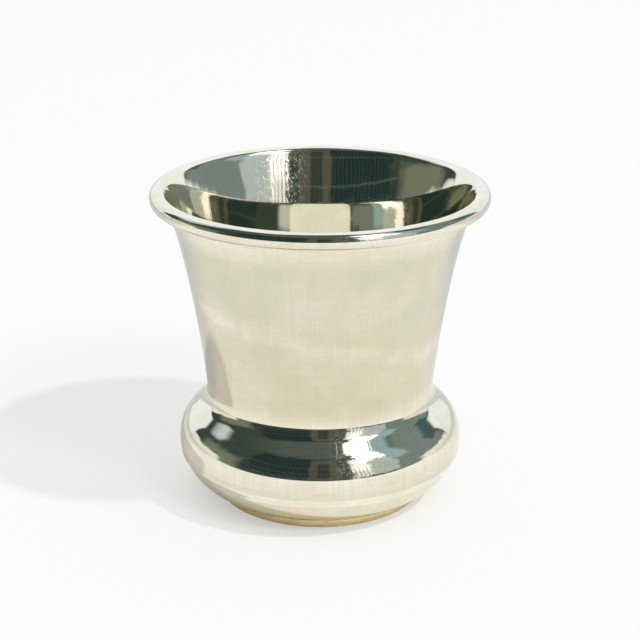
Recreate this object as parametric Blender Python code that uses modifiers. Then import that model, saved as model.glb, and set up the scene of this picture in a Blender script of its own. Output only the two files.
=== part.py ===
"""Bar jigger: a thistle-shaped spirit measure, spun from thin sheet and silver plated.

The vessel is turned about the Z axis and stands on its foot ring, with the origin at the centre of
the surface that it stands on. Two spinnings make it. The cup carries the rolled lip, the flared
wall, the neck and the upper bulb. The pan closes the bulb from below, with a flange that goes up
inside the cup's skirt. A wire stiffens the rolled lip, a brass ring is the foot, and a fillet of
solder holds each of the two joints.
"""

import math

import bpy

MM = 0.001
SEGMENTS = 48

# Sheet, and the clearance between pieces that touch
SHEET = 0.60 * MM
JOINT_GAP = 0.30 * MM

# Rolled lip
RIM_RADIUS = 27.00 * MM
BEAD_RADIUS = 1.33 * MM
BEAD_Z = 50.28 * MM
CURL_START = 130.0
CURL_END = -133.0
FLARE_LOWER_REACH = 0.45
FLARE_UPPER_REACH = 0.06

# Flared wall: its outer radius is a parabola above the neck
NECK_RADIUS = 18.505 * MM
NECK_Z = 18.91 * MM
WALL_SLOPE = 0.0994
WALL_CURVE = 0.0027 / MM
WALL_TOP_Z = 41.6 * MM

# Bulb: a hollow fillet under the wall, a straight shoulder, and two arcs that meet at the widest ring
NECK_FILLET = 3.90 * MM
SHOULDER_ANGLE = 47.0
BULB_RADIUS = 23.15 * MM
BULB_Z = 9.50 * MM
BULB_ARC = 6.84 * MM
SKIRT_ARC = 14.0 * MM
SEAM_Z = 7.60 * MM

# Pan: one long arc under the seam, a tighter heel arc, and a floor with a shallow dome
PAN_SHOULDER_RADIUS = 22.77 * MM
PAN_ARC = 8.90 * MM
PAN_START_ANGLE = -16.5
HEEL_ANGLE = -63.0
HEEL_ARC = 3.50 * MM
DOME_RADIUS = 12.5 * MM
DOME_RISE = 0.90 * MM
FLANGE_TOP_Z = 9.60 * MM

# Foot ring
FOOT_RADIUS = 16.83 * MM
FOOT_WIDTH = 1.65 * MM
FOOT_HEIGHT = 1.20 * MM
FOOT_ROUNDING = 0.30 * MM

# Solder fillets
SEAM_FILLET = 0.80 * MM
FOOT_FILLET = 0.70 * MM


def polar(angle):
    """Unit vector (radial, up) at an angle in degrees above the outward horizontal."""
    return math.cos(math.radians(angle)), math.sin(math.radians(angle))


def arc(centre, radius, start, end, steps):
    """Points (r, z) on an arc, from start to end in degrees, both ends included."""
    points = []
    for i in range(steps + 1):
        c, s = polar(start + (end - start) * i / steps)
        points.append((centre[0] + radius * c, centre[1] + radius * s))
    return points


def bezier(start, start_handle, end_handle, end, steps):
    """Points on a cubic Bezier curve, both ends included."""
    points = []
    for i in range(steps + 1):
        t = i / steps
        weights = ((1 - t) ** 3, 3 * t * (1 - t) ** 2, 3 * t * t * (1 - t), t**3)
        corners = (start, start_handle, end_handle, end)
        r = sum(w * p[0] for w, p in zip(weights, corners))
        z = sum(w * p[1] for w, p in zip(weights, corners))
        points.append((r, z))
    return points


def offset(path, distance):
    """The path moved sideways: to its right, as it is walked, for a positive distance."""
    moved = []
    last = len(path) - 1
    for i, (r, z) in enumerate(path):
        before, after = path[max(i - 1, 0)], path[min(i + 1, last)]
        dr, dz = after[0] - before[0], after[1] - before[1]
        length = math.hypot(dr, dz)
        moved.append((r + distance * dz / length, z - distance * dr / length))
    return moved


def wall_point(z, depth):
    """A point at this depth under the outer face of the flared wall, and the face's angle there."""
    rise = z - NECK_Z
    radius = NECK_RADIUS + WALL_SLOPE * rise + WALL_CURVE * rise**2
    angle = -math.degrees(math.atan(WALL_SLOPE + 2 * WALL_CURVE * rise))
    c, s = polar(angle)
    return (radius - depth * c, z - depth * s), angle


def cup_midline():
    """The middle of the cup's sheet, from the skirt's lower edge up to the end of the curl."""
    half = SHEET / 2
    skirt_centre = (BULB_RADIUS - SKIRT_ARC, BULB_Z)
    skirt_angle = math.degrees(math.asin((SEAM_Z - BULB_Z) / SKIRT_ARC))
    path = arc(skirt_centre, SKIRT_ARC - half, skirt_angle, 0.0, 2)

    bulb_centre = (BULB_RADIUS - BULB_ARC, BULB_Z)
    path += arc(bulb_centre, BULB_ARC - half, 0.0, SHOULDER_ANGLE, 5)[1:]

    neck, neck_angle = wall_point(NECK_Z, 0.0)
    c, s = polar(neck_angle)
    fillet_centre = (neck[0] + NECK_FILLET * c, neck[1] + NECK_FILLET * s)
    fillet_start, fillet_end = 180.0 + SHOULDER_ANGLE, 180.0 + neck_angle
    path += arc(fillet_centre, NECK_FILLET + half, fillet_start, fillet_end, 4)

    wall_steps = 5
    for i in range(1, wall_steps + 1):
        z = NECK_Z + (WALL_TOP_Z - NECK_Z) * i / wall_steps
        point, wall_angle = wall_point(z, half)
        path.append(point)

    bead_centre = (RIM_RADIUS - BEAD_RADIUS, BEAD_Z)
    curl = arc(bead_centre, BEAD_RADIUS - half, CURL_START, CURL_END, 11)
    up_r, up_z = -polar(wall_angle)[1], polar(wall_angle)[0]
    in_r, in_z = polar(CURL_START + 90.0)
    length = math.dist(path[-1], curl[0])
    lower, upper = FLARE_LOWER_REACH * length, FLARE_UPPER_REACH * length
    lower_handle = (path[-1][0] + lower * up_r, path[-1][1] + lower * up_z)
    upper_handle = (curl[0][0] + upper * in_r, curl[0][1] + upper * in_z)
    path += bezier(path[-1], lower_handle, upper_handle, curl[0], 5)[1:]
    path += curl[1:]
    return path


def cup_outline():
    """The cup's closed section: its outer face down from the curl, then its inner face back up."""
    middle = cup_midline()
    outer = offset(middle, SHEET / 2)
    inner = offset(middle, -SHEET / 2)
    return outer[::-1] + inner


def lower_bulb_centre():
    """Centre of the pan's long arc, whose outer face starts at the shoulder under the seam."""
    c, s = polar(PAN_START_ANGLE)
    top_z = SEAM_Z - JOINT_GAP
    return PAN_SHOULDER_RADIUS - PAN_ARC * c, top_z - PAN_ARC * s


def pan_face(depth, steps):
    """The pan's face at this depth under its outer skin, from the shoulder down to the flat floor."""
    centre = lower_bulb_centre()
    c, s = polar(HEEL_ANGLE)
    heel_centre = (centre[0] + (PAN_ARC - HEEL_ARC) * c, centre[1] + (PAN_ARC - HEEL_ARC) * s)
    face = arc(centre, PAN_ARC - depth, PAN_START_ANGLE, HEEL_ANGLE, steps)
    return face + arc(heel_centre, HEEL_ARC - depth, HEEL_ANGLE, -90.0, 3)[1:]


def dome_face(base_z, steps):
    """The shallow dome of the floor, from its edge to the axis."""
    radius = (DOME_RADIUS**2 + DOME_RISE**2) / (2 * DOME_RISE)
    points = []
    for i in range(steps + 1):
        r = DOME_RADIUS * (1 - i / steps)
        points.append((r, base_z + math.sqrt(radius**2 - r**2) - radius + DOME_RISE))
    return points


def pan_outline():
    """The pan's section from the axis, up its inner face, over the flange, and down its outer face."""
    outer = pan_face(0.0, 5)
    inner = pan_face(SHEET, 5)
    flange_outer = BULB_RADIUS - SHEET - JOINT_GAP
    flange_inner = flange_outer - SHEET
    centre = lower_bulb_centre()
    inner_arc = PAN_ARC - SHEET
    meet_z = centre[1] - math.sqrt(inner_arc**2 - (flange_inner - centre[0]) ** 2)
    bowl = [point for point in inner if point[0] < flange_inner and point[1] < meet_z]

    section = dome_face(inner[-1][1], 4)[::-1]
    section += bowl[::-1]
    section += [(flange_inner, meet_z), (flange_inner, FLANGE_TOP_Z)]
    section += [(flange_outer, FLANGE_TOP_Z), (flange_outer, outer[0][1])]
    section += outer
    section += dome_face(outer[-1][1], 4)
    return section


def foot_outline():
    """The foot ring's section: a flat band with rounded outer edges and a flat sole."""
    inner_radius = FOOT_RADIUS - FOOT_WIDTH
    edge = FOOT_RADIUS - FOOT_ROUNDING
    top, bottom = FOOT_HEIGHT - FOOT_ROUNDING, FOOT_ROUNDING
    section = [(inner_radius, 0.0), (inner_radius, FOOT_HEIGHT)]
    section += arc((edge, top), FOOT_ROUNDING, 90.0, 0.0, 3)
    section += arc((edge, bottom), FOOT_ROUNDING, 0.0, -90.0, 3)
    return section


def wire_outline():
    """The edge wire's round section, inside the curl."""
    centre = (RIM_RADIUS - BEAD_RADIUS, BEAD_Z)
    radius = BEAD_RADIUS - SHEET - JOINT_GAP
    return arc(centre, radius, 90.0, -270.0, 8)[:-1]


def seam_fillet_outline():
    """Solder on top of the pan's flange, against the inner face of the cup."""
    wall_radius = BULB_RADIUS - SHEET - JOINT_GAP
    bottom = FLANGE_TOP_Z + JOINT_GAP
    corner, top = (wall_radius, bottom), (wall_radius, bottom + SEAM_FILLET)
    return [top, corner, (wall_radius - SEAM_FILLET, bottom)]


def foot_fillet_outline():
    """Solder in the corner between the foot ring's inner face and the underside of the pan."""
    ring_radius = FOOT_RADIUS - FOOT_WIDTH - JOINT_GAP
    top = FOOT_HEIGHT
    return [(ring_radius, top), (ring_radius, top - FOOT_FILLET), (ring_radius - FOOT_FILLET, top)]


def metal(name, colour, roughness):
    """A metal with a Principled BSDF."""
    material = bpy.data.materials.new(name)
    material.use_nodes = True
    shader = material.node_tree.nodes["Principled BSDF"]
    shader.inputs["Base Color"].default_value = (*colour, 1.0)
    shader.inputs["Metallic"].default_value = 1.0
    shader.inputs["Roughness"].default_value = roughness
    return material


def turned(name, outline, material, collection, closed=True):
    """An object made by turning a section about Z. A section that isn't closed ends on the axis."""
    count = len(outline)
    edges = [(i, i + 1) for i in range(count - 1)]
    if closed:
        edges.append((count - 1, 0))
    mesh = bpy.data.meshes.new(name)
    mesh.from_pydata([(r, 0.0, z) for r, z in outline], edges, [])
    mesh.materials.append(material)
    obj = bpy.data.objects.new(name, mesh)
    collection.objects.link(obj)
    screw = obj.modifiers.new("Turn", "SCREW")
    screw.axis = "Z"
    screw.angle = math.tau
    screw.steps = SEGMENTS
    screw.render_steps = SEGMENTS
    screw.use_merge_vertices = not closed
    screw.merge_threshold = 0.01 * MM
    screw.use_smooth_shade = True
    return obj


def main():
    for obj in list(bpy.data.objects):
        bpy.data.objects.remove(obj)
    collection = bpy.data.collections.new("bar_jigger")
    bpy.context.scene.collection.children.link(collection)

    silver = metal("silver_plate", (0.90, 0.87, 0.78), 0.12)
    brass = metal("brass", (0.78, 0.60, 0.28), 0.25)
    solder = metal("solder", (0.72, 0.70, 0.64), 0.35)
    wire = metal("wire", (0.72, 0.57, 0.30), 0.35)

    turned("cup", cup_outline(), silver, collection)
    turned("rim_wire", wire_outline(), wire, collection)
    turned("base_pan", pan_outline(), silver, collection, closed=False)
    turned("foot_ring", foot_outline(), brass, collection)
    turned("seam_solder", seam_fillet_outline(), solder, collection)
    turned("foot_solder", foot_fillet_outline(), solder, collection)


main()
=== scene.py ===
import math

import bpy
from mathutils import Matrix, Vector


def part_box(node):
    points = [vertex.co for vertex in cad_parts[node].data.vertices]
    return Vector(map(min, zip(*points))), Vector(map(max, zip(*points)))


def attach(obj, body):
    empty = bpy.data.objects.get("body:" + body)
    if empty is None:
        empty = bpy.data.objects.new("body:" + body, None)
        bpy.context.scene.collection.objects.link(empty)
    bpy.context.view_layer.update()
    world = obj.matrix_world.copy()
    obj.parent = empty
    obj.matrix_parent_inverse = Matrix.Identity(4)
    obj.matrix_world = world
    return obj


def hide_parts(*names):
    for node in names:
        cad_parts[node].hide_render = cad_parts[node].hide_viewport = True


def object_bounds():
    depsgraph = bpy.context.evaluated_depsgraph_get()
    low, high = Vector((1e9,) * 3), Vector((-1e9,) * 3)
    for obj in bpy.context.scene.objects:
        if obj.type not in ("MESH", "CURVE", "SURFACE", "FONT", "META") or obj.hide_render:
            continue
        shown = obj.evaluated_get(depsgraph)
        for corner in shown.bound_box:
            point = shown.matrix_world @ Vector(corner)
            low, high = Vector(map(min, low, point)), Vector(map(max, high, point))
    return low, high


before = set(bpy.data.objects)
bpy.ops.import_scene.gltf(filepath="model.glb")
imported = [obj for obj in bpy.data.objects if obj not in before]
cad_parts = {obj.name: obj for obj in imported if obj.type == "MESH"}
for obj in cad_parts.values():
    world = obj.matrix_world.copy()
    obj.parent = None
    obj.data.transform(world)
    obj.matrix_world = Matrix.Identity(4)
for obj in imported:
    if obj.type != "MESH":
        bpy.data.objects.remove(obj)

# Bar jigger in silver plate, on a pale floor in soft studio light.
#
# Each turned piece is made again here from the CAD's own driving dimensions, with fine sections and
# closed joints, so that the polished metal mirrors the studio without facets. The materials are
# node graphs in object space: spinning lines, micro-scratches, wiping marks and tarnish, with a
# painted reflection and a painted light streak on the wall, a painted highlight on the seam and
# painted shade at the heel.

cad_low, cad_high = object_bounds()

MM = 0.001
SEGMENTS = 288

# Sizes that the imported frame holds
RIM_RADIUS = cad_high.x
HEIGHT = cad_high.z
FOOT_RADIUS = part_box("foot_ring")[1].x

# Sheet and lip, as in the CAD. The roll closes on the wall, where the CAD leaves it open.
SHEET = 0.60 * MM
BEAD_RADIUS = 1.33 * MM
BEAD_Z = HEIGHT - BEAD_RADIUS
CURL_START = 130.0
CURL_END = -147.0
FLARE_LOWER_REACH = 0.45
FLARE_UPPER_REACH = 0.06
WIRE_CLEARANCE = 0.02 * MM

# Flared wall
NECK_RADIUS = 18.505 * MM
NECK_Z = 18.91 * MM
WALL_SLOPE = 0.0994
WALL_CURVE = 0.0027 / MM
WALL_TOP_Z = 41.6 * MM

# Bulb
NECK_FILLET = 3.90 * MM
SHOULDER_ANGLE = 47.0
BULB_RADIUS = 23.15 * MM
BULB_Z = 9.50 * MM
BULB_ARC = 6.84 * MM
SKIRT_ARC = 14.0 * MM
SEAM_Z = 7.60 * MM

# Pan
PAN_SHOULDER_RADIUS = 22.77 * MM
PAN_TOP_Z = 7.30 * MM
PAN_ARC = 8.90 * MM
PAN_START_ANGLE = -16.5
HEEL_ANGLE = -63.0
HEEL_ARC = 3.50 * MM
DOME_RADIUS = 12.5 * MM
DOME_RISE = 0.90 * MM
FLANGE_TOP_Z = 9.60 * MM
FLANGE_GAP = 0.05 * MM

# Foot ring and solder
FOOT_WIDTH = 1.65 * MM
FOOT_ROUNDING = 0.28 * MM
FOOT_INNER_ROUNDING = 0.12 * MM
SEAM_HEIGHT = 1.15 * MM
SEAM_PROUD = 0.012 * MM
FILLET = 0.70 * MM
CONTACT = 0.01 * MM


# ---------------------------------------------------------------- sections


def polar(angle):
    """Unit vector (radial, up) at an angle in degrees above the outward horizontal."""
    return math.cos(math.radians(angle)), math.sin(math.radians(angle))


def arc(centre, radius, start, end, steps):
    """Points (r, z) on an arc, from start to end in degrees, both ends included."""
    points = []
    for i in range(steps + 1):
        c, s = polar(start + (end - start) * i / steps)
        points.append((centre[0] + radius * c, centre[1] + radius * s))
    return points


def bezier(start, start_handle, end_handle, end, steps):
    """Points on a cubic Bezier curve, both ends included."""
    points = []
    for i in range(steps + 1):
        t = i / steps
        weights = ((1 - t) ** 3, 3 * t * (1 - t) ** 2, 3 * t * t * (1 - t), t**3)
        corners = (start, start_handle, end_handle, end)
        r = sum(w * p[0] for w, p in zip(weights, corners))
        z = sum(w * p[1] for w, p in zip(weights, corners))
        points.append((r, z))
    return points


def offset(path, distance):
    """The path moved sideways: to its right, as it is walked, for a positive distance."""
    moved = []
    last = len(path) - 1
    for i, (r, z) in enumerate(path):
        before, after = path[max(i - 1, 0)], path[min(i + 1, last)]
        dr, dz = after[0] - before[0], after[1] - before[1]
        length = math.hypot(dr, dz)
        moved.append((r + distance * dz / length, z - distance * dr / length))
    return moved


def wall_point(z, depth):
    """A point at this depth under the outer face of the flared wall, and the face's angle there."""
    rise = z - NECK_Z
    radius = NECK_RADIUS + WALL_SLOPE * rise + WALL_CURVE * rise**2
    angle = -math.degrees(math.atan(WALL_SLOPE + 2 * WALL_CURVE * rise))
    c, s = polar(angle)
    return (radius - depth * c, z - depth * s), angle


def cup_midline():
    """The middle of the cup's sheet, from the skirt's lower edge up to the end of the curl."""
    half = SHEET / 2
    skirt_centre = (BULB_RADIUS - SKIRT_ARC, BULB_Z)
    skirt_angle = math.degrees(math.asin((SEAM_Z - BULB_Z) / SKIRT_ARC))
    path = arc(skirt_centre, SKIRT_ARC - half, skirt_angle, 0.0, 6)

    bulb_centre = (BULB_RADIUS - BULB_ARC, BULB_Z)
    path += arc(bulb_centre, BULB_ARC - half, 0.0, SHOULDER_ANGLE, 24)[1:]

    neck, neck_angle = wall_point(NECK_Z, 0.0)
    c, s = polar(neck_angle)
    fillet_centre = (neck[0] + NECK_FILLET * c, neck[1] + NECK_FILLET * s)
    fillet_start, fillet_end = 180.0 + SHOULDER_ANGLE, 180.0 + neck_angle
    path += arc(fillet_centre, NECK_FILLET + half, fillet_start, fillet_end, 22)

    wall_steps = 30
    for i in range(1, wall_steps + 1):
        z = NECK_Z + (WALL_TOP_Z - NECK_Z) * i / wall_steps
        point, wall_angle = wall_point(z, half)
        path.append(point)

    bead_centre = (RIM_RADIUS - BEAD_RADIUS, BEAD_Z)
    curl = arc(bead_centre, BEAD_RADIUS - half, CURL_START, CURL_END, 44)
    up_r, up_z = -polar(wall_angle)[1], polar(wall_angle)[0]
    in_r, in_z = polar(CURL_START + 90.0)
    length = math.dist(path[-1], curl[0])
    lower, upper = FLARE_LOWER_REACH * length, FLARE_UPPER_REACH * length
    lower_handle = (path[-1][0] + lower * up_r, path[-1][1] + lower * up_z)
    upper_handle = (curl[0][0] + upper * in_r, curl[0][1] + upper * in_z)
    path += bezier(path[-1], lower_handle, upper_handle, curl[0], 26)[1:]
    path += curl[1:]
    return path


def cup_outline():
    """The cup's closed section: its outer face down from the curl, then its inner face back up."""
    middle = cup_midline()
    outer = offset(middle, SHEET / 2)
    inner = offset(middle, -SHEET / 2)
    return outer[::-1] + inner


def lower_bulb_centre():
    """Centre of the pan's long arc."""
    c, s = polar(PAN_START_ANGLE)
    return PAN_SHOULDER_RADIUS - PAN_ARC * c, PAN_TOP_Z - PAN_ARC * s


def pan_face(depth, steps):
    """The pan's face at this depth under its outer skin, from the shoulder down to the flat floor."""
    centre = lower_bulb_centre()
    c, s = polar(HEEL_ANGLE)
    heel_centre = (centre[0] + (PAN_ARC - HEEL_ARC) * c, centre[1] + (PAN_ARC - HEEL_ARC) * s)
    face = arc(centre, PAN_ARC - depth, PAN_START_ANGLE, HEEL_ANGLE, steps)
    return face + arc(heel_centre, HEEL_ARC - depth, HEEL_ANGLE, -90.0, 10)[1:]


def dome_face(base_z, steps):
    """The shallow dome of the floor, from its edge to the axis."""
    radius = (DOME_RADIUS**2 + DOME_RISE**2) / (2 * DOME_RISE)
    points = []
    for i in range(steps + 1):
        r = DOME_RADIUS * (1 - i / steps)
        points.append((r, base_z + math.sqrt(radius**2 - r**2) - radius + DOME_RISE))
    return points


def flange_radius():
    """The outer radius of the pan's flange, just inside the cup's skirt."""
    return BULB_RADIUS - SHEET - FLANGE_GAP


def pan_outline():
    """The pan's section from the axis, up its inner face, over the flange, and down its outer face."""
    outer = pan_face(0.0, 28)
    inner = pan_face(SHEET, 28)
    flange_outer = flange_radius()
    flange_inner = flange_outer - SHEET
    centre = lower_bulb_centre()
    meet_z = centre[1] - math.sqrt((PAN_ARC - SHEET) ** 2 - (flange_inner - centre[0]) ** 2)
    bowl = [point for point in inner if point[0] < flange_inner and point[1] < meet_z]

    section = dome_face(inner[-1][1], 12)[::-1]
    section += bowl[::-1]
    section += [(flange_inner, meet_z), (flange_inner, FLANGE_TOP_Z)]
    section += [(flange_outer, FLANGE_TOP_Z), (flange_outer, outer[0][1])]
    section += outer
    section += dome_face(outer[-1][1], 12)
    return section


def seam_outline():
    """The dressed solder under the skirt: it fills the step and dies out on the pan's outer face."""
    skirt_angle = math.degrees(math.asin((SEAM_Z - BULB_Z) / SKIRT_ARC))
    c, s = polar(skirt_angle)
    skirt_radius = BULB_RADIUS - SKIRT_ARC * (1 - c)
    top = (skirt_radius, SEAM_Z - CONTACT)
    face = [point for point in pan_face(-SEAM_PROUD, 60) if point[1] > PAN_TOP_Z - SEAM_HEIGHT]
    end, before = face[-1], face[-4]
    reach = SEAM_HEIGHT / 3
    length = math.dist(end, before)
    upper = (top[0] + reach * s, top[1] - reach * c)
    lower = (end[0] + reach * (before[0] - end[0]) / length, end[1] + reach * (before[1] - end[1]) / length)
    skin = bezier(top, upper, lower, end, 14)
    back = [(r - 3 * SEAM_PROUD, z) for r, z in face[::-1]]
    return skin + back + [(flange_radius(), SEAM_Z - CONTACT)]


def corner_fillet(corner, leg_r, leg_z):
    """A hollow fillet of solder in a square corner, with legs of these signed lengths."""
    r, z = corner
    start, end = (r + leg_r, z), (r, z + leg_z)
    near_start = (r + 0.4 * leg_r, z + 0.1 * leg_z)
    near_end = (r + 0.1 * leg_r, z + 0.4 * leg_z)
    return bezier(start, near_start, near_end, end, 10) + [corner]


def foot_outline():
    """The foot ring's section: a flat band that meets the pan, with a flat sole and soft edges."""
    inner, top = FOOT_RADIUS - FOOT_WIDTH, pan_face(0.0, 28)[-1][1] - CONTACT
    soft = FOOT_INNER_ROUNDING
    edge = FOOT_RADIUS - FOOT_ROUNDING
    section = arc((inner + soft, soft), soft, 270.0, 180.0, 4)
    section += arc((inner + soft, top - soft), soft, 180.0, 90.0, 4)
    section += arc((edge, top - FOOT_ROUNDING), FOOT_ROUNDING, 90.0, 0.0, 8)
    section += arc((edge, FOOT_ROUNDING), FOOT_ROUNDING, 0.0, -90.0, 8)
    return section


def wire_outline():
    """The edge wire's round section, inside the curl."""
    centre = (RIM_RADIUS - BEAD_RADIUS, BEAD_Z)
    return arc(centre, BEAD_RADIUS - SHEET - WIRE_CLEARANCE, 90.0, -270.0, 24)[:-1]


# ---------------------------------------------------------------- meshes


def turned(name, *outlines, closed=True, segments=SEGMENTS):
    """A piece made by turning its sections about Z, frozen to a smooth-shaded mesh."""
    points, edges = [], []
    for outline in outlines:
        first, count = len(points), len(outline)
        points += [(r, 0.0, z) for r, z in outline]
        edges += [(first + i, first + i + 1) for i in range(count - 1)]
        if closed:
            edges.append((first + count - 1, first))
    mesh = bpy.data.meshes.new(name)
    mesh.from_pydata(points, edges, [])
    source = bpy.data.objects.new(name + "_section", mesh)
    bpy.context.scene.collection.objects.link(source)
    screw = source.modifiers.new("Turn", "SCREW")
    screw.axis = "Z"
    screw.angle = math.tau
    screw.steps = segments
    screw.render_steps = segments
    screw.use_merge_vertices = not closed
    screw.merge_threshold = 0.001 * MM
    screw.use_smooth_shade = True
    graph = bpy.context.evaluated_depsgraph_get()
    final = bpy.data.meshes.new_from_object(source.evaluated_get(graph))
    final.name = name
    bpy.data.objects.remove(source)
    final.set_sharp_from_angle(angle=math.radians(32.0))
    piece = bpy.data.objects.new(name, final)
    bpy.context.scene.collection.objects.link(piece)
    return piece


inner_corner = (flange_radius() + FLANGE_GAP - CONTACT, FLANGE_TOP_Z + CONTACT)
foot_corner = (FOOT_RADIUS - FOOT_WIDTH - CONTACT, pan_face(0.0, 28)[-1][1] - CONTACT)

cup = turned("cup_shell", cup_outline())
pan = turned("pan_shell", pan_outline(), closed=False)
foot = turned("foot_band", foot_outline())
seam = turned("seam_line", seam_outline(), corner_fillet(inner_corner, -FILLET, FILLET))
foot_joint = turned("foot_joint", corner_fillet(foot_corner, -FILLET, -FILLET))
wire = turned("lip_wire", wire_outline(), segments=144)

for piece, node, slot_name in (
    (cup, "cup", "silver_plate"),
    (pan, "base_pan", "silver_plate"),
    (foot, "foot_ring", "brass"),
    (seam, "seam_solder", "solder"),
    (foot_joint, "foot_solder", "solder"),
    (wire, "rim_wire", "wire"),
):
    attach(piece, "root")
    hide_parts(node)


# ---------------------------------------------------------------- node graphs


class Graph:
    """A short way to build a node graph."""

    def __init__(self, tree):
        self.tree = tree

    def node(self, kind, **settings):
        made = self.tree.nodes.new(kind)
        for key, value in settings.items():
            setattr(made, key, value)
        return made

    def feed(self, socket, value):
        if isinstance(value, bpy.types.NodeSocket):
            self.tree.links.new(value, socket)
        elif value is not None:
            socket.default_value = value

    def math(self, operation, first, second=None, third=None):
        made = self.node("ShaderNodeMath", operation=operation)
        for socket, value in zip(made.inputs, (first, second, third)):
            self.feed(socket, value)
        return made.outputs[0]

    def times(self, first, *others):
        """The product of all the values."""
        for value in others:
            first = self.math("MULTIPLY", first, value)
        return first

    def plus(self, first, *others):
        """The sum of all the values."""
        for value in others:
            first = self.math("ADD", first, value)
        return first

    def vector(self, operation, first, second=None, scale=None):
        made = self.node("ShaderNodeVectorMath", operation=operation)
        self.feed(made.inputs[0], first)
        self.feed(made.inputs[1], second)
        if scale is not None:
            self.feed(made.inputs["Scale"], scale)
        return made.outputs["Value" if operation in ("DOT_PRODUCT", "LENGTH") else "Vector"]

    def combine(self, x, y, z):
        made = self.node("ShaderNodeCombineXYZ")
        for socket, value in zip(made.inputs, (x, y, z)):
            self.feed(socket, value)
        return made.outputs[0]

    def split(self, vector):
        made = self.node("ShaderNodeSeparateXYZ")
        self.feed(made.inputs[0], vector)
        return made.outputs

    def ramp(self, value, low, high, out_low=0.0, out_high=1.0):
        """A smooth step from out_low to out_high as value goes from low to high."""
        made = self.node("ShaderNodeMapRange", interpolation_type="SMOOTHSTEP")
        for socket, given in zip(made.inputs, (value, low, high, out_low, out_high)):
            self.feed(socket, given)
        return made.outputs[0]

    def mix(self, factor, first, second):
        """A colour between first and second."""
        made = self.node("ShaderNodeMix", data_type="RGBA")
        self.feed(made.inputs[0], factor)
        for socket, colour in ((made.inputs[6], first), (made.inputs[7], second)):
            self.feed(socket, (*colour, 1.0) if isinstance(colour, tuple) else colour)
        return made.outputs[2]

    def noise(self, vector, scale=1.0, detail=2.0, roughness=0.5, w=None):
        made = self.node("ShaderNodeTexNoise", noise_dimensions="3D" if w is None else "4D")
        self.feed(made.inputs["Vector"], vector)
        if scale is not None:
            self.feed(made.inputs["Scale"], scale)
        self.feed(made.inputs["Detail"], detail)
        self.feed(made.inputs["Roughness"], roughness)
        if w is not None:
            self.feed(made.inputs["W"], w)
        return made.outputs[0]


class TurnedSurface(Graph):
    """A graph for metal turned about Z, with the object's own coordinates in millimetres."""

    def __init__(self, name):
        self.material = bpy.data.materials.new(name)
        self.material.use_nodes = True
        super().__init__(self.material.node_tree)
        self.shader = self.tree.nodes["Principled BSDF"]
        self.shader.inputs["Metallic"].default_value = 1.0
        coordinates = self.node("ShaderNodeTexCoord")
        self.place = self.vector("SCALE", coordinates.outputs["Object"], scale=1.0 / MM)
        self.x, self.y, self.z = self.split(self.place)
        flat = self.combine(self.x, self.y, 0.0)
        self.radius = self.vector("LENGTH", flat)
        self.around = self.vector("NORMALIZE", flat)
        self.normal = coordinates.outputs["Normal"]
        self.outward = self.vector("DOT_PRODUCT", self.normal, self.around)
        self.tangent = self.vector("CROSS_PRODUCT", (0.0, 0.0, 1.0), self.around)
        self.profile = self.vector("CROSS_PRODUCT", self.normal, self.tangent)

    def turned_noise(self, across, along, detail=2.0, roughness=0.5):
        """Noise with this many features a millimetre across the turning lines, and a turn along them."""
        around = self.vector("SCALE", self.around, scale=along / math.tau)
        x, y, z = self.split(around)
        place = self.combine(x, y, self.times(self.z, across))
        return self.noise(place, detail=detail, roughness=roughness, w=self.times(self.radius, across))

    def scratches(self, cell, width, share, seed):
        """Hairline scratches, one in some cells of this size, each in a direction of its own."""
        shifted = self.vector("ADD", self.place, (seed, seed * 1.7, seed * 2.3))
        cells = self.node("ShaderNodeTexVoronoi")
        self.feed(cells.inputs["Vector"], shifted)
        self.feed(cells.inputs["Scale"], 1.0 / cell)
        offset_in_cell = self.vector("SUBTRACT", shifted, cells.outputs["Position"])
        u = self.vector("DOT_PRODUCT", offset_in_cell, self.tangent)
        v = self.vector("DOT_PRODUCT", offset_in_cell, self.profile)
        turn, chance, bend = self.split(cells.outputs["Color"])
        angle = self.times(turn, math.pi)
        c, s = self.math("COSINE", angle), self.math("SINE", angle)
        along = self.math("SUBTRACT", self.times(u, c), self.times(v, s))
        across = self.plus(self.times(u, s), self.times(v, c))
        bow = self.times(self.math("SUBTRACT", bend, 0.5), along, along, 0.22 / cell)
        line = self.ramp(self.math("ABSOLUTE", self.plus(across, bow)), width, 0.0)
        ends = self.ramp(self.math("ABSOLUTE", along), 0.55 * cell, 0.30 * cell)
        return self.times(line, ends, self.math("GREATER_THAN", chance, 1.0 - share))

    def specks(self, cell, size, share, seed):
        """Small round pits or stains, one in some cells of this size."""
        shifted = self.vector("ADD", self.place, (seed, seed * 1.3, seed * 2.9))
        cells = self.node("ShaderNodeTexVoronoi")
        self.feed(cells.inputs["Vector"], shifted)
        self.feed(cells.inputs["Scale"], 1.0 / cell)
        growth, chance, _ = self.split(cells.outputs["Color"])
        reach = self.times(size / cell, self.plus(growth, 0.35))
        spot = self.ramp(cells.outputs["Distance"], reach, self.times(reach, 0.3))
        return self.times(spot, self.math("GREATER_THAN", chance, 1.0 - share))

    def finish(self, colour, roughness, height):
        """Join the colour, the roughness, and the relief in millimetres to the shader."""
        self.feed(self.shader.inputs["Base Color"], colour)
        self.feed(self.shader.inputs["Roughness"], roughness)
        bump = self.node("ShaderNodeBump")
        bump.inputs["Strength"].default_value = 1.0
        bump.inputs["Distance"].default_value = MM
        self.feed(bump.inputs["Height"], height)
        self.feed(self.shader.inputs["Normal"], bump.outputs[0])
        return self.material


# ---------------------------------------------------------------- metals

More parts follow.
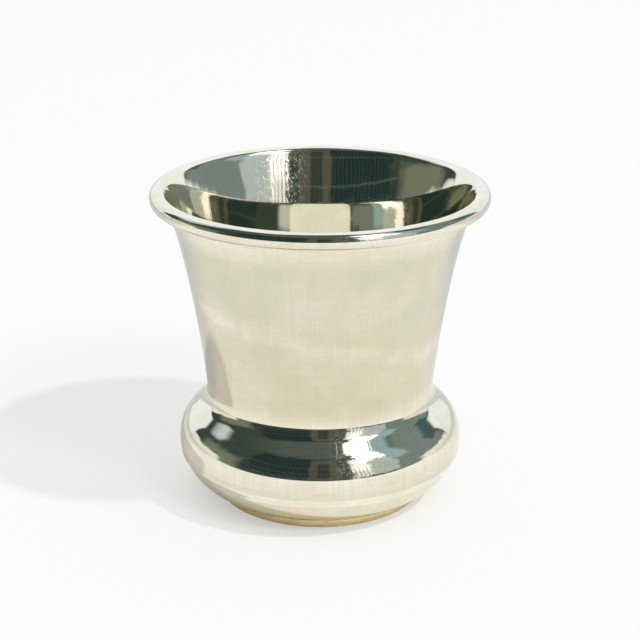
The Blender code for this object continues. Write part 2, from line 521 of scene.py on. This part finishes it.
CLEAN_SILVER = (0.91, 0.87, 0.74)
DULL_SILVER = (0.85, 0.795, 0.63)
# Tarnish on the outer wall, mixed with a painted reflection: these colours stand in for the warm, shaded
# floor that the wall mirrors.
GREEN_TARNISH_AND_PAINTED_REFLECTION = (0.690, 0.670, 0.520)
WARM_TARNISH_AND_PAINTED_REFLECTION = (0.725, 0.665, 0.495)
# The seam's solder, coloured brighter than the silver as a painted highlight along the seam.
SEAM_PAINTED_HIGHLIGHT = (0.99, 0.96, 0.83)
SMUDGE = (0.60, 0.55, 0.42)
# Painted shade and reflection at the heel: olive-gold, where the heel mirrors the brass ring and the floor
# in the object's shadow.
HEEL_PAINTED_SHADE = (0.86, 0.77, 0.49)
STAIN = (0.30, 0.25, 0.15)
BRASS = (0.98, 0.83, 0.53)
OLD_BRASS = (0.87, 0.71, 0.42)

# Where marks, a painted light streak and painted heel shade lie on the object, in millimetres above the
# floor
LIGHT_STREAK_HEIGHT = 32.5
WALL_LOW, WALL_HIGH = 19.0, 46.0
# Top of the painted heel shade, reaching higher on the left, away from the light.
HEEL_SHADE_TOP = 4.7


def silver_plate(name):
    """Silver plate over brass: polished, wiped, a little tarnished, with a painted reflection and light
    streak on the wall and painted shade at the heel.
    """
    g = TurnedSurface(name)
    cloud = g.noise(g.place, scale=0.11, detail=5.0, roughness=0.6)
    patches = g.noise(g.vector("ADD", g.place, (31.0, 7.0, 13.0)), scale=0.07, detail=4.0, roughness=0.55)
    brushed_down = g.turned_noise(0.12, 330.0, detail=3.0, roughness=0.6)
    brushed_round = g.turned_noise(2.6, 26.0, detail=3.0, roughness=0.65)
    lines = g.turned_noise(4.5, 5.0, detail=3.0, roughness=0.7)
    long_scratches = g.scratches(5.5, 0.040, 0.25, 11.0)
    hairlines = g.scratches(2.1, 0.034, 0.60, 37.0)
    more_hairlines = g.scratches(1.0, 0.030, 0.60, 71.0)
    pits = g.specks(2.4, 0.13, 0.16, 5.0)
    dots = g.specks(0.9, 0.075, 0.35, 53.0)

    outside = g.ramp(g.outward, 0.2, 0.7)
    on_wall = g.times(
        outside,
        g.ramp(g.z, WALL_LOW - 2.0, WALL_LOW + 2.0),
        g.ramp(g.z, WALL_HIGH + 2.0, WALL_HIGH - 2.0),
    )
    colour = g.mix(g.ramp(cloud, 0.3, 0.7), DULL_SILVER, CLEAN_SILVER)

    # Painted reflection as well as tarnish: the outer wall is darkened and warmed, warmer lower down, where
    # it mirrors a warm, shaded floor.
    warmth = g.plus(g.ramp(g.z, 44.0, 20.0, -0.25, 0.25), patches)
    tarnish_and_painted_reflection = g.mix(g.ramp(warmth, 0.38, 0.62), GREEN_TARNISH_AND_PAINTED_REFLECTION, WARM_TARNISH_AND_PAINTED_REFLECTION)
    # A painted light streak: a diagonal band across the wall with less tarnish, so the silver is brighter
    # there.
    streak_distance = g.math("ABSOLUTE", g.plus(g.z, g.times(g.x, 0.20), g.times(cloud, 3.0), -LIGHT_STREAK_HEIGHT))
    painted_light_streak = g.times(g.ramp(streak_distance, 2.0, 0.2), g.ramp(patches, 0.40, 0.58, 0.1, 0.6))
    blotches = g.plus(g.times(cloud, 0.6), g.times(patches, 0.4))
    patchy = g.plus(g.ramp(blotches, 0.36, 0.64, 1.0, 0.62), g.times(painted_light_streak, -1.0))
    colour = g.mix(g.times(on_wall, patchy), colour, tarnish_and_painted_reflection)
    brushing = g.plus(g.times(brushed_down, 0.5), g.times(brushed_round, 0.5))
    colour = g.mix(g.times(outside, g.ramp(brushing, 0.60, 0.36, 0.0, 0.26)), colour, SMUDGE)

    near_seam = g.times(outside, g.ramp(g.z, 7.55, 7.75), g.ramp(g.z, 8.9, 8.2))
    smears = g.ramp(g.turned_noise(0.9, 9.0, detail=4.0, roughness=0.65), 0.52, 0.66)
    colour = g.mix(g.times(near_seam, g.plus(0.12, g.times(smears, 0.5))), colour, SMUDGE)

    # Painted shade at the heel: an olive band, broken up by noise, reaching higher towards -X where the
    # shadow falls.
    height_and_side = g.plus(g.z, g.times(g.x, 0.08))
    heel_shade_breaks = g.ramp(g.turned_noise(0.8, 14.0, detail=3.0), 0.20, 0.45)
    heel_shade_band = g.times(g.ramp(height_and_side, HEEL_SHADE_TOP, HEEL_SHADE_TOP - 1.0), heel_shade_breaks)
    colour = g.mix(g.times(heel_shade_band, 0.85, g.ramp(g.outward, 0.1, 0.3)), colour, HEEL_PAINTED_SHADE)
    marks = g.plus(
        g.times(pits, 0.6),
        g.times(dots, 0.34),
        g.times(hairlines, 0.20),
        g.times(long_scratches, 0.26),
    )
    colour = g.mix(g.times(outside, marks), colour, STAIN)

    roughness = g.plus(
        g.ramp(cloud, 0.35, 0.75, 0.022, 0.050),
        g.times(brushing, 0.020),
        g.times(on_wall, 0.03),
        g.times(long_scratches, 0.14),
        g.times(hairlines, 0.12),
        g.times(more_hairlines, 0.10),
        g.times(heel_shade_band, 0.05),
    )
    waves = g.noise(g.place, scale=0.16, detail=1.0)
    peel = g.noise(g.place, scale=0.7, detail=2.0)
    relief = g.plus(
        g.times(waves, 0.0045),
        g.times(peel, 0.0006),
        g.times(lines, 0.00012),
        g.times(long_scratches, -0.0006),
        g.times(hairlines, -0.0005),
        g.times(more_hairlines, -0.0004),
        g.times(pits, -0.002),
    )
    return g.finish(colour, roughness, relief)


def brass_band(name):
    """The foot's brass, dulled by age, with silver left in patches, and darker along its top, under the
    pan.
    """
    g = TurnedSurface(name)
    cloud = g.noise(g.place, scale=0.5, detail=4.0, roughness=0.6)
    lines = g.turned_noise(6.0, 7.0, detail=3.0, roughness=0.7)
    hairlines = g.scratches(1.4, 0.03, 0.6, 3.0)
    colour = g.mix(g.ramp(cloud, 0.35, 0.65), OLD_BRASS, BRASS)
    left = g.ramp(g.turned_noise(0.9, 16.0, detail=3.0), 0.60, 0.72)
    colour = g.mix(g.times(left, 0.6), colour, CLEAN_SILVER)
    # Darker along the top of the band, under the pan.
    top_darkening = g.times(g.ramp(g.z, 1.18, 1.42), g.ramp(cloud, 0.75, 0.35, 0.3, 0.8))
    colour = g.mix(top_darkening, colour, STAIN)
    roughness = g.plus(
        g.ramp(cloud, 0.3, 0.7, 0.20, 0.34),
        g.times(lines, 0.08),
        g.times(top_darkening, 0.2),
        g.times(hairlines, 0.1),
    )
    relief = g.plus(g.times(lines, 0.0008), g.times(cloud, 0.002), g.times(hairlines, -0.001))
    return g.finish(colour, roughness, relief)


def solder(name, fresh, dull, lumps):
    """Soft solder, dressed by hand, with a slightly lumpy skin."""
    g = TurnedSurface(name)
    cloud = g.noise(g.place, scale=0.35, detail=4.0, roughness=0.6)
    lines = g.turned_noise(5.0, 9.0, detail=3.0, roughness=0.7)
    hairlines = g.scratches(1.6, 0.025, 0.5, 19.0)
    pits = g.specks(1.5, 0.10, 0.12, 23.0)
    colour = g.mix(g.ramp(cloud, 0.35, 0.65), dull, fresh)
    colour = g.mix(g.times(pits, 0.6), colour, STAIN)
    roughness = g.plus(
        g.ramp(cloud, 0.3, 0.7, 0.05, 0.05 + 0.1 * lumps), g.times(lines, 0.03), g.times(hairlines, 0.12)
    )
    relief = g.plus(
        g.times(g.noise(g.place, scale=0.8, detail=2.0), 0.004 * lumps),
        g.times(lines, 0.0002),
        g.times(pits, -0.002),
    )
    return g.finish(colour, roughness, relief)


silver = silver_plate("silver_plate_polished")
# The seam's solder, brighter than the silver: a painted highlight.
seam_metal = solder("seam_painted_highlight", SEAM_PAINTED_HIGHLIGHT, CLEAN_SILVER, 0.3)
joint_metal = solder("solder_joint", (0.80, 0.77, 0.70), (0.62, 0.58, 0.50), 1.5)
brass = brass_band("brass_foot")
for piece, material in (
    (cup, silver),
    (pan, silver),
    (foot, brass),
    (seam, seam_metal),
    (foot_joint, joint_metal),
    (wire, brass),
):
    piece.data.materials.append(material)


# ---------------------------------------------------------------- studio

scene = bpy.context.scene
scene.view_settings.view_transform = "Standard"

CAMERA_DISTANCE = 259.51 * MM
CAMERA_HEIGHT = 122.76 * MM
CAMERA_TILT = 19.863
CAMERA_LENS = 95.5
KEY_DISTANCE = 4.0
DOME = 0.66
FLOOR_LIFT = 0.60
FLOOR_LIFT_AT_FOOT = 0.38
CONTACT_SHADOW_IN, CONTACT_SHADOW_OUT = 16.0 * MM, 26.0 * MM
WINDOW_LIGHT = (1.70, 1.70, 1.80)
SPARKLE = (1.8, 1.8, 1.65)

# Areas of the room that the silver mirrors, each over the ones before it: how strong it is, its
# colour, and its limits in degrees, as the arguments of zone() in studio_world
ROOM_AREAS = (
    (1.0, (0.197, 0.258, 0.262), (62, 123, -5, 52, 6, 10)),  # grey area to the right
    (0.9, (0.340, 0.500, 0.580), (58, 84, 28, 62, 3, 9)),  # paler blue area over it
    (0.8, (0.030, 0.084, 0.113), (110, 123, 20, 34, 2, 8)),  # dark area at its far end
    (0.9, (0.013, 0.033, 0.039), (-62, -8, 9, 56, 4, 22)),  # darkest area, left of the camera
    (0.9, (0.200, 0.225, 0.170), (-110, -70, -2, 24, 5, 14)),  # greenish area to the left
    (0.8, (0.110, 0.112, 0.090), (-9, 17, -5, 52, 2, 4)),  # plain strip behind the camera
    (0.7, (0.016, 0.026, 0.028), (-2, 8, 8, 44, 1, 2)),  # darker slot in the strip
    (0.8, (0.560, 0.640, 0.700), (40, 66, 4, 46, 2, 14)),  # pale area beside the window
)


def pale_floor():
    """A large pale floor, with painted shade behind the object.

    The camera sees it evenly lit and lifted towards white, as in a catalogue picture, though less so
    close to the foot, where the contact shadow stays. The silver mirrors it as the lights leave it, and
    with its painted shade behind the object.
    """
    mesh = bpy.data.meshes.new("floor")
    side = 4.0
    corners = [(-side, -side, 0.0), (side, -side, 0.0), (side, side, 0.0), (-side, side, 0.0)]
    mesh.from_pydata(corners, [], [(0, 1, 2, 3)])
    floor = bpy.data.objects.new("floor", mesh)
    scene.collection.objects.link(floor)
    material = bpy.data.materials.new("floor_paper")
    material.use_nodes = True
    g = Graph(material.node_tree)
    shader = g.tree.nodes["Principled BSDF"]
    place = g.node("ShaderNodeTexCoord").outputs["Object"]
    seen = g.node("ShaderNodeLightPath").outputs["Is Camera Ray"]
    fibre = g.mix(g.noise(place, scale=900.0, detail=2.0), (0.89, 0.89, 0.89), (0.91, 0.91, 0.905))
    # Painted shade: for all but camera rays, the floor's colour darkens behind the object.
    depth = g.ramp(g.split(place)[1], 0.01, 0.09)
    painted_shade_behind = g.times(depth, g.math("SUBTRACT", 1.0, seen))
    g.feed(shader.inputs["Base Color"], g.mix(painted_shade_behind, fibre, (0.63, 0.655, 0.68)))
    shader.inputs["Roughness"].default_value = 0.9
    shader.inputs["Specular IOR Level"].default_value = 0.0
    glow = g.node("ShaderNodeEmission")
    glow.inputs["Color"].default_value = (0.975, 0.975, 0.975, 1.0)
    blend = g.node("ShaderNodeMixShader")
    from_axis = g.vector("LENGTH", place)
    lift = g.ramp(from_axis, CONTACT_SHADOW_IN, CONTACT_SHADOW_OUT, FLOOR_LIFT_AT_FOOT, FLOOR_LIFT)
    g.feed(blend.inputs[0], g.times(seen, lift))
    g.feed(blend.inputs[1], shader.outputs[0])
    g.feed(blend.inputs[2], glow.outputs[0])
    g.feed(g.tree.nodes["Material Output"].inputs["Surface"], blend.outputs[0])
    mesh.materials.append(material)


def studio_world():
    """What the silver mirrors: a white sweep behind, a dim room in front, and a window to its right.

    Azimuth is in degrees from the camera's side (-Y) towards +X, elevation from the horizon.
    """
    world = bpy.data.worlds.new("studio")
    scene.world = world
    world.use_nodes = True
    tree = world.node_tree
    tree.nodes.clear()
    g = Graph(tree)
    direction = g.node("ShaderNodeTexCoord").outputs["Generated"]
    x, y, z = g.split(direction)
    degree = 180.0 / math.pi
    azimuth = g.times(g.math("ARCTAN2", x, g.times(y, -1.0)), degree)
    elevation = g.times(g.math("ARCSINE", z), degree)
    wobble = g.plus(g.noise(direction, scale=7.0, detail=4.0), -0.5)
    fine_wobble = g.plus(g.noise(direction, scale=40.0, detail=3.0), -0.5)

    def zone(az_low, az_high, el_low, el_high, soft=2.0, ragged=0.0, fine=0.0):
        """1 inside these limits, with edges this soft and this ragged, in degrees."""
        shift = g.plus(g.times(wobble, ragged), g.times(fine_wobble, fine))
        a, e = g.plus(azimuth, shift), g.plus(elevation, shift)
        return g.times(
            g.ramp(a, az_low - soft, az_low + soft),
            g.ramp(a, az_high + soft, az_high - soft),
            g.ramp(e, el_low - soft, el_low + soft),
            g.ramp(e, el_high + soft, el_high - soft),
        )

    colour = g.mix(g.ramp(elevation, 45.0, 68.0), (0.047, 0.066, 0.060), (0.090, 0.115, 0.110))
    folds = g.math("SINE", g.plus(g.times(azimuth, 1.9), g.times(wobble, 9.0)))
    for strength, tint, limits in ROOM_AREAS:
        colour = g.mix(g.times(zone(*limits), strength), colour, tint)
    stripes = g.times(zone(-60, 30, 2, 50, 3), g.ramp(folds, 0.5, 1.0), 0.30)
    colour = g.mix(stripes, colour, (0.085, 0.105, 0.095))
    for rail in (17.0, 31.0):
        line = zone(-66, 26, rail - 0.4, rail + 0.4, 0.3, 1.5)
        colour = g.mix(g.times(line, 0.3), colour, (0.20, 0.23, 0.21))

    curtain = g.ramp(folds, -1.0, 0.4, 0.35, 1.0)
    sill = g.ramp(elevation, 16.0, 23.0, 0.55, 1.0)
    low_pane = g.times(zone(27, 42, 3, 48, 1.5, 10.0, 16.0), curtain, sill)
    colour = g.mix(low_pane, colour, WINDOW_LIGHT)
    side_pane = zone(60, 92, 62, 71, 2.0, 12.0, 8.0)
    colour = g.mix(g.times(side_pane, 0.8), colour, (1.3, 1.35, 1.3))
    high_pane = zone(39, 66, 42, 71, 2.0, 16.0, 26.0)
    colour = g.mix(high_pane, colour, (2.6, 2.6, 2.5))
    leaves = g.noise(direction, scale=62.0, detail=4.0, roughness=0.65)
    glitter = g.times(zone(14, 56, 4, 70, 8.0, 22.0), g.ramp(leaves, 0.585, 0.660))
    colour = g.mix(g.times(glitter, 0.8), colour, SPARKLE)

    pale_side = zone(-128, -106, 31, 56, 4.0, 6.0)
    colour = g.mix(g.times(pale_side, 0.85), colour, (0.70, 0.78, 0.85))

    sweep = zone(-126, 125, -5, 8, 1.5, 8)
    beside = g.ramp(g.math("ABSOLUTE", azimuth), 84.0, 92.0)
    colour = g.mix(g.times(sweep, beside), colour, (0.86, 0.88, 0.86))
    behind = g.times(g.ramp(g.math("ABSOLUTE", azimuth), 124.5, 127.5), g.ramp(elevation, 78.0, 72.0))
    panel = g.mix(g.ramp(elevation, 15.0, 50.0), (0.93, 0.99, 1.04), (0.97, 1.04, 1.12))
    mirrored = g.mix(behind, colour, panel)

    path = g.node("ShaderNodeLightPath")
    others = g.mix(path.outputs["Is Camera Ray"], (DOME, DOME, DOME), (0.94, 0.94, 0.94))
    background = g.node("ShaderNodeBackground")
    g.feed(background.inputs["Color"], g.mix(path.outputs["Is Glossy Ray"], others, mirrored))
    out = g.node("ShaderNodeOutputWorld")
    g.feed(out.inputs[0], background.outputs[0])


def softbox(name, azimuth, elevation, size, power):
    """A round light that only lights: the silver mirrors the studio's window in its place."""
    data = bpy.data.lights.new(name, "AREA")
    data.shape = "DISK"
    data.size = size
    data.energy = power
    lamp = bpy.data.objects.new(name, data)
    scene.collection.objects.link(lamp)
    a, e = math.radians(azimuth), math.radians(elevation)
    towards = Vector((math.sin(a) * math.cos(e), -math.cos(a) * math.cos(e), math.sin(e)))
    lamp.location = KEY_DISTANCE * towards
    lamp.rotation_euler = towards.to_track_quat("Z", "Y").to_euler()
    lamp.visible_glossy = False
    lamp.visible_camera = False


def photo_camera():
    """The camera, at the photograph's angle and distance."""
    data = bpy.data.cameras.new("camera")
    data.lens = CAMERA_LENS
    data.sensor_width = 36.0
    data.clip_start = 0.01
    camera = bpy.data.objects.new("camera", data)
    scene.collection.objects.link(camera)
    camera.location = (0.0, -CAMERA_DISTANCE, CAMERA_HEIGHT)
    camera.rotation_euler = (math.radians(90.0 - CAMERA_TILT), 0.0, 0.0)
    scene.camera = camera


pale_floor()
studio_world()
softbox("key_high", 60.0, 52.0, 0.20, 60.0)
softbox("key_low", 41.0, 40.0, 0.90, 34.0)
photo_camera()
scene.cycles.glossy_bounces = 10
scene.cycles.max_bounces = 12
